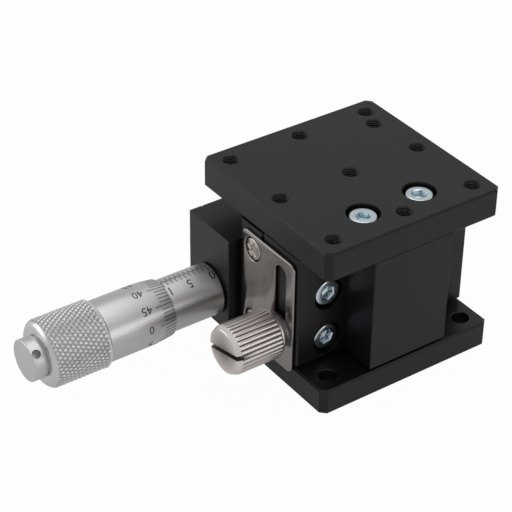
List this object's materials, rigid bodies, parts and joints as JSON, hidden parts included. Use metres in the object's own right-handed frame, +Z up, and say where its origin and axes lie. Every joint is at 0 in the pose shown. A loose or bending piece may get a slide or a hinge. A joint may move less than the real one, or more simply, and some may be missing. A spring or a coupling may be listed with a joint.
{
  "type": "vertical linear stage",
  "caption": "Compact vertical lift stage: a side micrometer pushes a wedge that raises a square tapped table on crossed roller rails, with a thumbscrew lock.",
  "frame": {"origin": "centre of the base plate's underside, where the stage is bolted down", "axes": "+Z up, the way the table rises. +X along the micrometer, from its knob into the stage. +Y towards the fixed rear block. Modelled with the table at its lowest position."},
  "size_m": [0.0836, 0.04, 0.036],
  "materials": {
    "black_anodised": "black anodised, fine satin",
    "satin_chrome": "satin chrome plate on steel",
    "nickel_plate": "bright nickel plate",
    "zinc_plate": "bluish zinc plate",
    "hardened_steel": "ground, hardened",
    "spring_steel": "drawn wire",
    "black_oxide": "black oxide",
    "brass": "machined"
  },
  "bodies": {
    "stage_base": {"base_plate": "black_anodised", "rear_block": "black_anodised", "block_screws": "zinc_plate", "micrometer_bracket": "black_anodised", "bracket_screw": "zinc_plate", "stem_set_screw": "black_oxide", "micrometer_barrel": "hardened_steel", "scale_sleeve": "satin_chrome", "adjusting_nut": "brass", "fixed_rail_left": "hardened_steel", "fixed_rail_right": "hardened_steel", "fixed_rail_screws": "zinc_plate", "lock_plate": "nickel_plate", "lock_plate_screws": "nickel_plate", "spring_pin": "hardened_steel", "return_spring": "spring_steel"},
    "wedge": {"wedge_slider": "hardened_steel"},
    "micrometer_thimble": {"thimble": "satin_chrome", "thimble_cap": "satin_chrome", "spindle": "hardened_steel"},
    "lift_table": {"top_plate": "black_anodised", "lift_carriage": "black_anodised", "table_screws": "zinc_plate", "moving_rail_left": "hardened_steel", "moving_rail_right": "hardened_steel", "moving_rail_screws": "zinc_plate", "follower_pin": "hardened_steel", "bearing_inner_ring": "hardened_steel", "bearing_clip": "spring_steel", "spring_anchor": "hardened_steel"},
    "follower_roller": {"bearing_outer_ring": "hardened_steel"},
    "roller_cages": {"roller_cage_left": "brass", "roller_cage_right": "brass", "rollers_left": "hardened_steel", "rollers_right": "hardened_steel"},
    "lock_washer_body": {"lock_washer": "nickel_plate"},
    "lock_screw_body": {"lock_thumbscrew": "nickel_plate"}
  },
  "joints": [
    {"name": "wedge_slide", "type": "slide", "parent": "stage_base", "child": "wedge", "axis": [1, 0, 0], "range_m": [0, 0.01]},
    {"name": "thimble_turn", "type": "hinge", "parent": "wedge", "child": "micrometer_thimble", "pos_m": [-0.05, 0.0126, 0.01125], "axis": [1, 0, 0], "range_deg": [0, 7200]},
    {"name": "table_lift", "type": "slide", "parent": "stage_base", "child": "lift_table", "axis": [0, 0, 1], "range_m": [0, 0.01], "deforming": ["return_spring"]},
    {"name": "roller_turn", "type": "hinge", "parent": "lift_table", "child": "follower_roller", "pos_m": [0.0015, 0.0126, 0.0115], "axis": [0, -1, 0], "range_deg": [0, 231.6]},
    {"name": "cage_slide", "type": "slide", "parent": "stage_base", "child": "roller_cages", "axis": [0, 0, 1], "range_m": [0, 0.005]},
    {"name": "lock_slide", "type": "slide", "parent": "lift_table", "child": "lock_washer_body", "axis": [1, 0, 0], "range_m": [-0.0005, 0]},
    {"name": "lock_turn", "type": "hinge", "parent": "lock_washer_body", "child": "lock_screw_body", "pos_m": [-0.028, -0.0067, 0.01245], "axis": [1, 0, 0], "range_deg": [-360, 0]}
  ],
  "couplings": [
    {"joint": "thimble_turn", "follows": "table_lift", "rad_per_m": 12566},
    {"joint": "wedge_slide", "follows": "table_lift", "ratio": 1},
    {"joint": "cage_slide", "follows": "table_lift", "ratio": 0.5},
    {"joint": "roller_turn", "follows": "table_lift", "rad_per_m": 404.06},
    {"joint": "lock_turn", "follows": "lock_slide", "rad_per_m": 12566}
  ]
}
